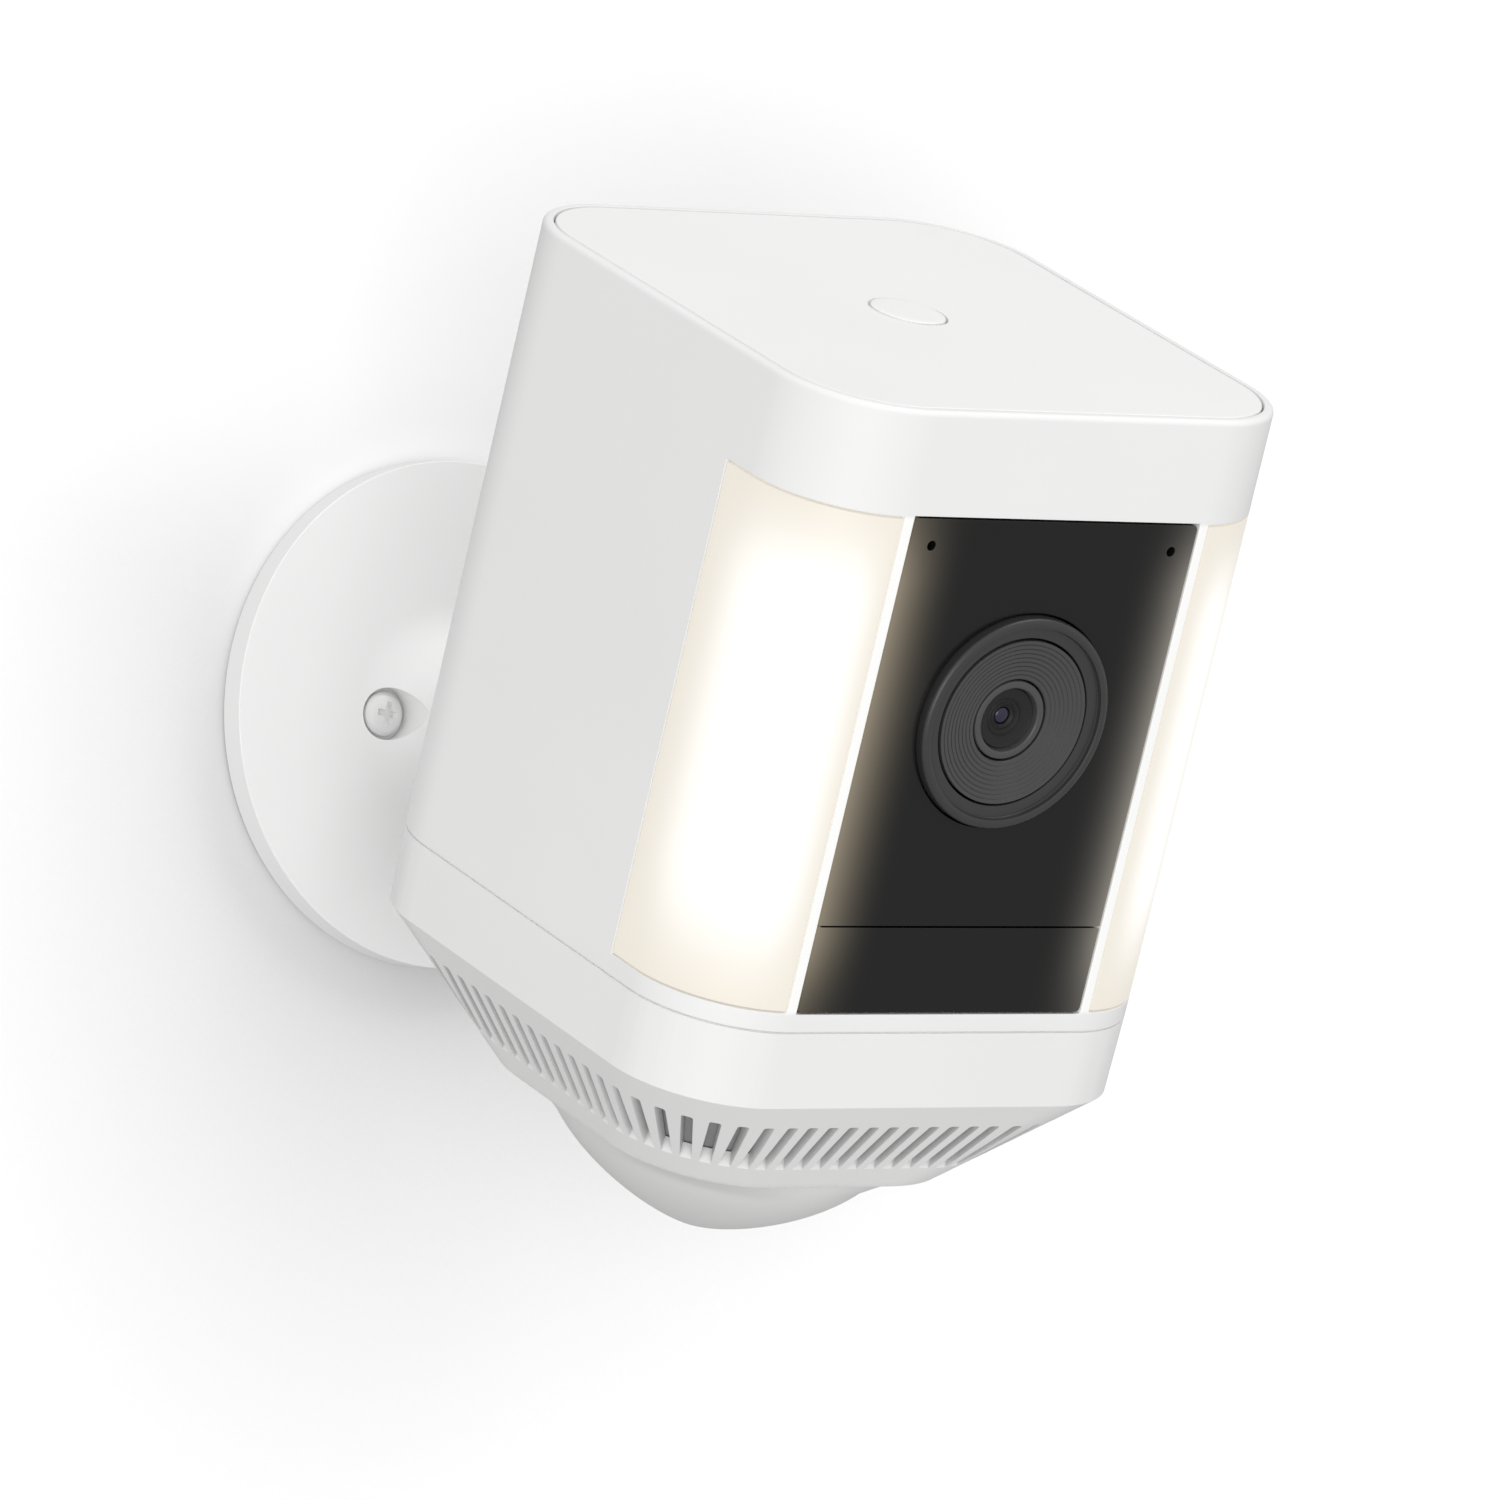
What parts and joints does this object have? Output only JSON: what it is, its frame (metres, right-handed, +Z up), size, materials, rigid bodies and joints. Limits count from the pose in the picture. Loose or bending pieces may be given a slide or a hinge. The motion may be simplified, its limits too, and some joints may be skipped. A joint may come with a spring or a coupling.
{
  "type": "floodlight security camera",
  "caption": "Rounded-box outdoor camera with two wrap-round light panels, a black lens panel and a slotted base with a motion dome, on a round ball-joint wall mount.",
  "frame": {"origin": "centre of the wall disc flat back face, on the wall", "axes": "+Y into the wall, +Z up, +X to the right of someone facing the camera; the camera stands out toward -Y"},
  "size_m": [0.09, 0.1905, 0.1575],
  "materials": {
    "white_shell": "fine satin moulded ABS, outdoor white",
    "inner_white": "plain moulded white",
    "light_diffuser": "lit milky diffuser, warm white",
    "dome_white": "milky polyethylene motion lens",
    "black_panel": "smooth semi-gloss black",
    "dark_plastic": "satin dark moulding",
    "lens_glass": "coated optical glass",
    "steel": "turned steel",
    "painted_screw": "white painted head",
    "circuit_board": "solder-masked board",
    "rubber": "moulded rubber",
    "battery_case": "dark textured case",
    "ribbon_film": "amber flexible circuit",
    "contact_gold": "plated contacts",
    "vent_screen": "grey liner behind the slots"
  },
  "bodies": {
    "wall_mount": {"mount_base": "white_shell", "wall_plate": "steel", "wall_screw_left": "painted_screw", "wall_screw_upper": "painted_screw", "wall_screw_lower": "painted_screw"},
    "stem": {"ball_stem": "steel", "stem_washer": "rubber"},
    "pad": {"friction_pad": "rubber"},
    "camera": {"socket_cup": "dark_plastic", "socket_screw_1": "steel", "socket_screw_2": "steel", "socket_screw_3": "steel", "socket_screw_4": "steel", "main_housing": "white_shell", "top_cap": "white_shell", "button_board": "circuit_board", "camera_panel": "black_panel", "sensor_window": "black_panel", "left_light_diffuser": "light_diffuser", "right_light_diffuser": "light_diffuser", "left_reflector": "inner_white", "right_reflector": "inner_white", "left_light_board": "circuit_board", "right_light_board": "circuit_board", "lens_bezel": "dark_plastic", "lens_baffle": "dark_plastic", "lens_ring": "dark_plastic", "lens_glass": "lens_glass", "lens_barrel": "dark_plastic", "image_sensor_board": "circuit_board", "inner_chassis": "dark_plastic", "main_board": "circuit_board", "camera_ribbon": "ribbon_film", "wifi_antenna": "contact_gold", "speaker": "dark_plastic", "left_microphone": "steel", "right_microphone": "steel", "battery_sleeve": "dark_plastic", "contact_block": "contact_gold", "cover_seal": "rubber"},
    "collar": {"locking_collar": "dark_plastic"},
    "button": {"setup_button": "white_shell"},
    "cover": {"bottom_cover": "white_shell", "motion_dome": "dome_white", "motion_board": "circuit_board", "motion_sensor": "steel", "grille_screen": "vent_screen"},
    "cover_screw": {"security_screw": "steel"},
    "battery": {"battery_pack": "battery_case"},
    "tab": {"battery_tab": "inner_white"}
  },
  "joints": [
    {"name": "mount_swivel", "type": "hinge", "parent": "wall_mount", "child": "stem", "pos_m": [0, -0.05451, 0], "axis": [0, 1, 0], "range_deg": [-90, 90]},
    {"name": "camera_pan", "type": "hinge", "parent": "stem", "child": "pad", "pos_m": [0, -0.05451, 0], "axis": [0, 0, 1], "range_deg": [-28, 28]},
    {"name": "camera_tilt", "type": "hinge", "parent": "pad", "child": "camera", "pos_m": [0, -0.05451, 0], "axis": [1, 0, 0], "range_deg": [-46.2, 14.8]},
    {"name": "collar_turn", "type": "hinge", "parent": "camera", "child": "collar", "pos_m": [0, -0.05451, 0], "axis": [0, 0.9323, 0.3616], "range_deg": [0, 90]},
    {"name": "button_press", "type": "slide", "parent": "camera", "child": "button", "axis": [0, 0.3616, -0.9323], "range_m": [0, 0.0008], "stiffness_N_per_m": 150},
    {"name": "cover_slide", "type": "slide", "parent": "camera", "child": "cover", "axis": [0, 0.3616, -0.9323], "range_m": [0, 0.045]},
    {"name": "battery_slide", "type": "slide", "parent": "camera", "child": "battery", "axis": [0, 0.3616, -0.9323], "range_m": [0, 0.027]},
    {"name": "battery_tab_press", "type": "slide", "parent": "battery", "child": "tab", "axis": [0, 0.9323, 0.3616], "range_m": [0, 0.0015], "stiffness_N_per_m": 120},
    {"name": "security_screw_turn", "type": "hinge", "parent": "cover", "child": "cover_screw", "pos_m": [0, -0.04754, -0.02158], "axis": [0, 0.9323, 0.3616], "range_deg": [0, 360]}
  ],
  "couplings": [
    {"joint": "battery_slide", "follows": "cover_slide", "ratio": 0.6}
  ]
}
